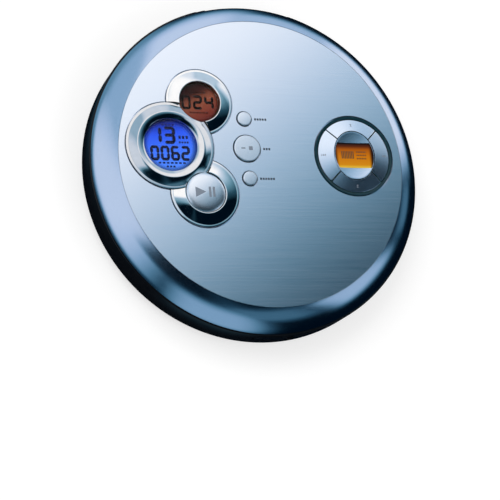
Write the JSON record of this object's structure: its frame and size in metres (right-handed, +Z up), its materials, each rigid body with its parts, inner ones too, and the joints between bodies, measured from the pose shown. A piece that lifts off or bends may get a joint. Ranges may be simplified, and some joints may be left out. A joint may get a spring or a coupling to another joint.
{
  "type": "portable cd player",
  "caption": "Round portable disc player with a rear-hinged lid, two round displays, a domed play key, a four-way key pad and a pickup drive under its disc deck.",
  "frame": {"origin": "on the ground under the spindle, at the middle of the player's underside", "axes": "+Z up out of the face, +X to the right of the face as it is read, +Y towards the lid's hinge"},
  "size_m": [0.14, 0.14, 0.028],
  "materials": {
    "side_band": "gloss black moulding",
    "bezel": "polished silver-blue metallised moulding",
    "face": "fine horizontal brushing",
    "chrome": "polished chrome plating on a moulding",
    "key": "satin silver",
    "teal": "dark teal, satin",
    "amber": "clear amber, lit from behind",
    "window": "clear",
    "blue_display": "lit blue display with dark digits",
    "copper_display": "copper display with dark digits",
    "black_moulding": "fine matt grain",
    "deck": "dark grey, fine matt grain",
    "steel": "plain",
    "rubber": "matt",
    "board": "solder mask",
    "sled": "fine matt grain",
    "objective": "coated",
    "cell_sleeve": "plain printed sleeve",
    "contact": "nickel plated"
  },
  "bodies": {
    "base": {"base_shell": "side_band", "foot_rear_right": "rubber", "foot_rear_left": "rubber", "foot_front_right": "rubber", "foot_front_left": "rubber", "case_screw_rear_right": "steel", "case_screw_rear_left": "steel", "case_screw_front_right": "steel", "case_screw_front_left": "steel", "disc_deck": "deck", "main_board": "board", "phones_socket": "black_moulding", "supply_socket": "black_moulding", "cell_rear": "cell_sleeve", "cell_front": "cell_sleeve", "cell_bridge_contact": "contact", "cell_terminal_rear": "contact", "cell_terminal_front": "contact", "hinge_pin": "steel", "drive_chassis": "steel", "drive_damper_1": "rubber", "drive_damper_2": "rubber", "drive_damper_3": "rubber", "guide_rod": "steel", "sled_motor": "steel", "spindle_motor": "steel"},
    "lid": {"lid_shell": "bezel", "lid_liner": "deck", "face_plate": "face", "key_board": "board", "main_display_ring": "chrome", "small_display_ring": "chrome", "play_key_ring": "chrome", "main_display_window": "window", "main_display_cell": "blue_display", "small_display_window": "window", "small_display_cell": "copper_display", "pad_surround": "teal", "pad_trim": "bezel", "pad_window": "amber", "pad_display_cell": "black_moulding"},
    "pickup": {"pickup_sled": "sled", "objective_lens": "objective"},
    "play_button": {"play_button": "key"},
    "stop_button": {"stop_button": "key"},
    "bass_button": {"bass_button": "key"},
    "skip_guard_button": {"skip_guard_button": "key"},
    "pad_key_right": {"pad_key_right": "key"},
    "pad_key_up": {"pad_key_up": "key"},
    "pad_key_left": {"pad_key_left": "key"},
    "pad_key_down": {"pad_key_down": "key"},
    "spindle_hub": {"spindle_hub": "black_moulding"},
    "lead_screw": {"lead_screw": "steel"},
    "open_slider": {"open_slider": "black_moulding"},
    "hold_switch": {"hold_switch": "black_moulding"},
    "battery_door": {"battery_door": "side_band"}
  },
  "joints": [
    {"name": "lid_hinge", "type": "hinge", "parent": "base", "child": "lid", "pos_m": [0, 0.0662, 0.0158], "axis": [-1, 0, 0], "range_deg": [0, 72]},
    {"name": "play_press", "type": "slide", "parent": "lid", "child": "play_button", "axis": [0, 0, -1], "range_m": [0, 0.0005], "stiffness_N_per_m": 800, "springref_m": -0.0005},
    {"name": "stop_press", "type": "slide", "parent": "lid", "child": "stop_button", "axis": [0, 0, -1], "range_m": [0, 0.0005], "stiffness_N_per_m": 700, "springref_m": -0.0005},
    {"name": "bass_press", "type": "slide", "parent": "lid", "child": "bass_button", "axis": [0, 0, -1], "range_m": [0, 0.0005], "stiffness_N_per_m": 700, "springref_m": -0.0005},
    {"name": "skip_guard_press", "type": "slide", "parent": "lid", "child": "skip_guard_button", "axis": [0, 0, -1], "range_m": [0, 0.0005], "stiffness_N_per_m": 700, "springref_m": -0.0005},
    {"name": "pad_right_press", "type": "slide", "parent": "lid", "child": "pad_key_right", "axis": [0, 0, -1], "range_m": [0, 0.0005], "stiffness_N_per_m": 700, "springref_m": -0.0005},
    {"name": "pad_up_press", "type": "slide", "parent": "lid", "child": "pad_key_up", "axis": [0, 0, -1], "range_m": [0, 0.0005], "stiffness_N_per_m": 700, "springref_m": -0.0005},
    {"name": "pad_left_press", "type": "slide", "parent": "lid", "child": "pad_key_left", "axis": [0, 0, -1], "range_m": [0, 0.0005], "stiffness_N_per_m": 700, "springref_m": -0.0005},
    {"name": "pad_down_press", "type": "slide", "parent": "lid", "child": "pad_key_down", "axis": [0, 0, -1], "range_m": [0, 0.0005], "stiffness_N_per_m": 700, "springref_m": -0.0005},
    {"name": "spindle_spin", "type": "hinge", "parent": "base", "child": "spindle_hub", "pos_m": [0, 0, 0.0194], "axis": [0, 0, 1], "continuous": true},
    {"name": "sled_travel", "type": "slide", "parent": "base", "child": "pickup", "axis": [-1, 0, 0], "range_m": [0, 0.0325]},
    {"name": "screw_turn", "type": "hinge", "parent": "base", "child": "lead_screw", "pos_m": [-0.02, -0.015, 0.0115], "axis": [1, 0, 0], "range_deg": [0, 3901]},
    {"name": "open_slide", "type": "slide", "parent": "base", "child": "open_slider", "axis": [1, 0, 0], "range_m": [0, 0.003], "stiffness_N_per_m": 300, "springref_m": -0.001},
    {"name": "hold_slide", "type": "slide", "parent": "base", "child": "hold_switch", "axis": [0, 1, 0], "range_m": [0, 0.003]},
    {"name": "battery_door_hinge", "type": "hinge", "parent": "base", "child": "battery_door", "pos_m": [0, -0.02375, 0.001], "axis": [1, 0, 0], "range_deg": [0, 100]}
  ],
  "couplings": [
    {"joint": "screw_turn", "follows": "sled_travel", "rad_per_m": 2094.4}
  ]
}
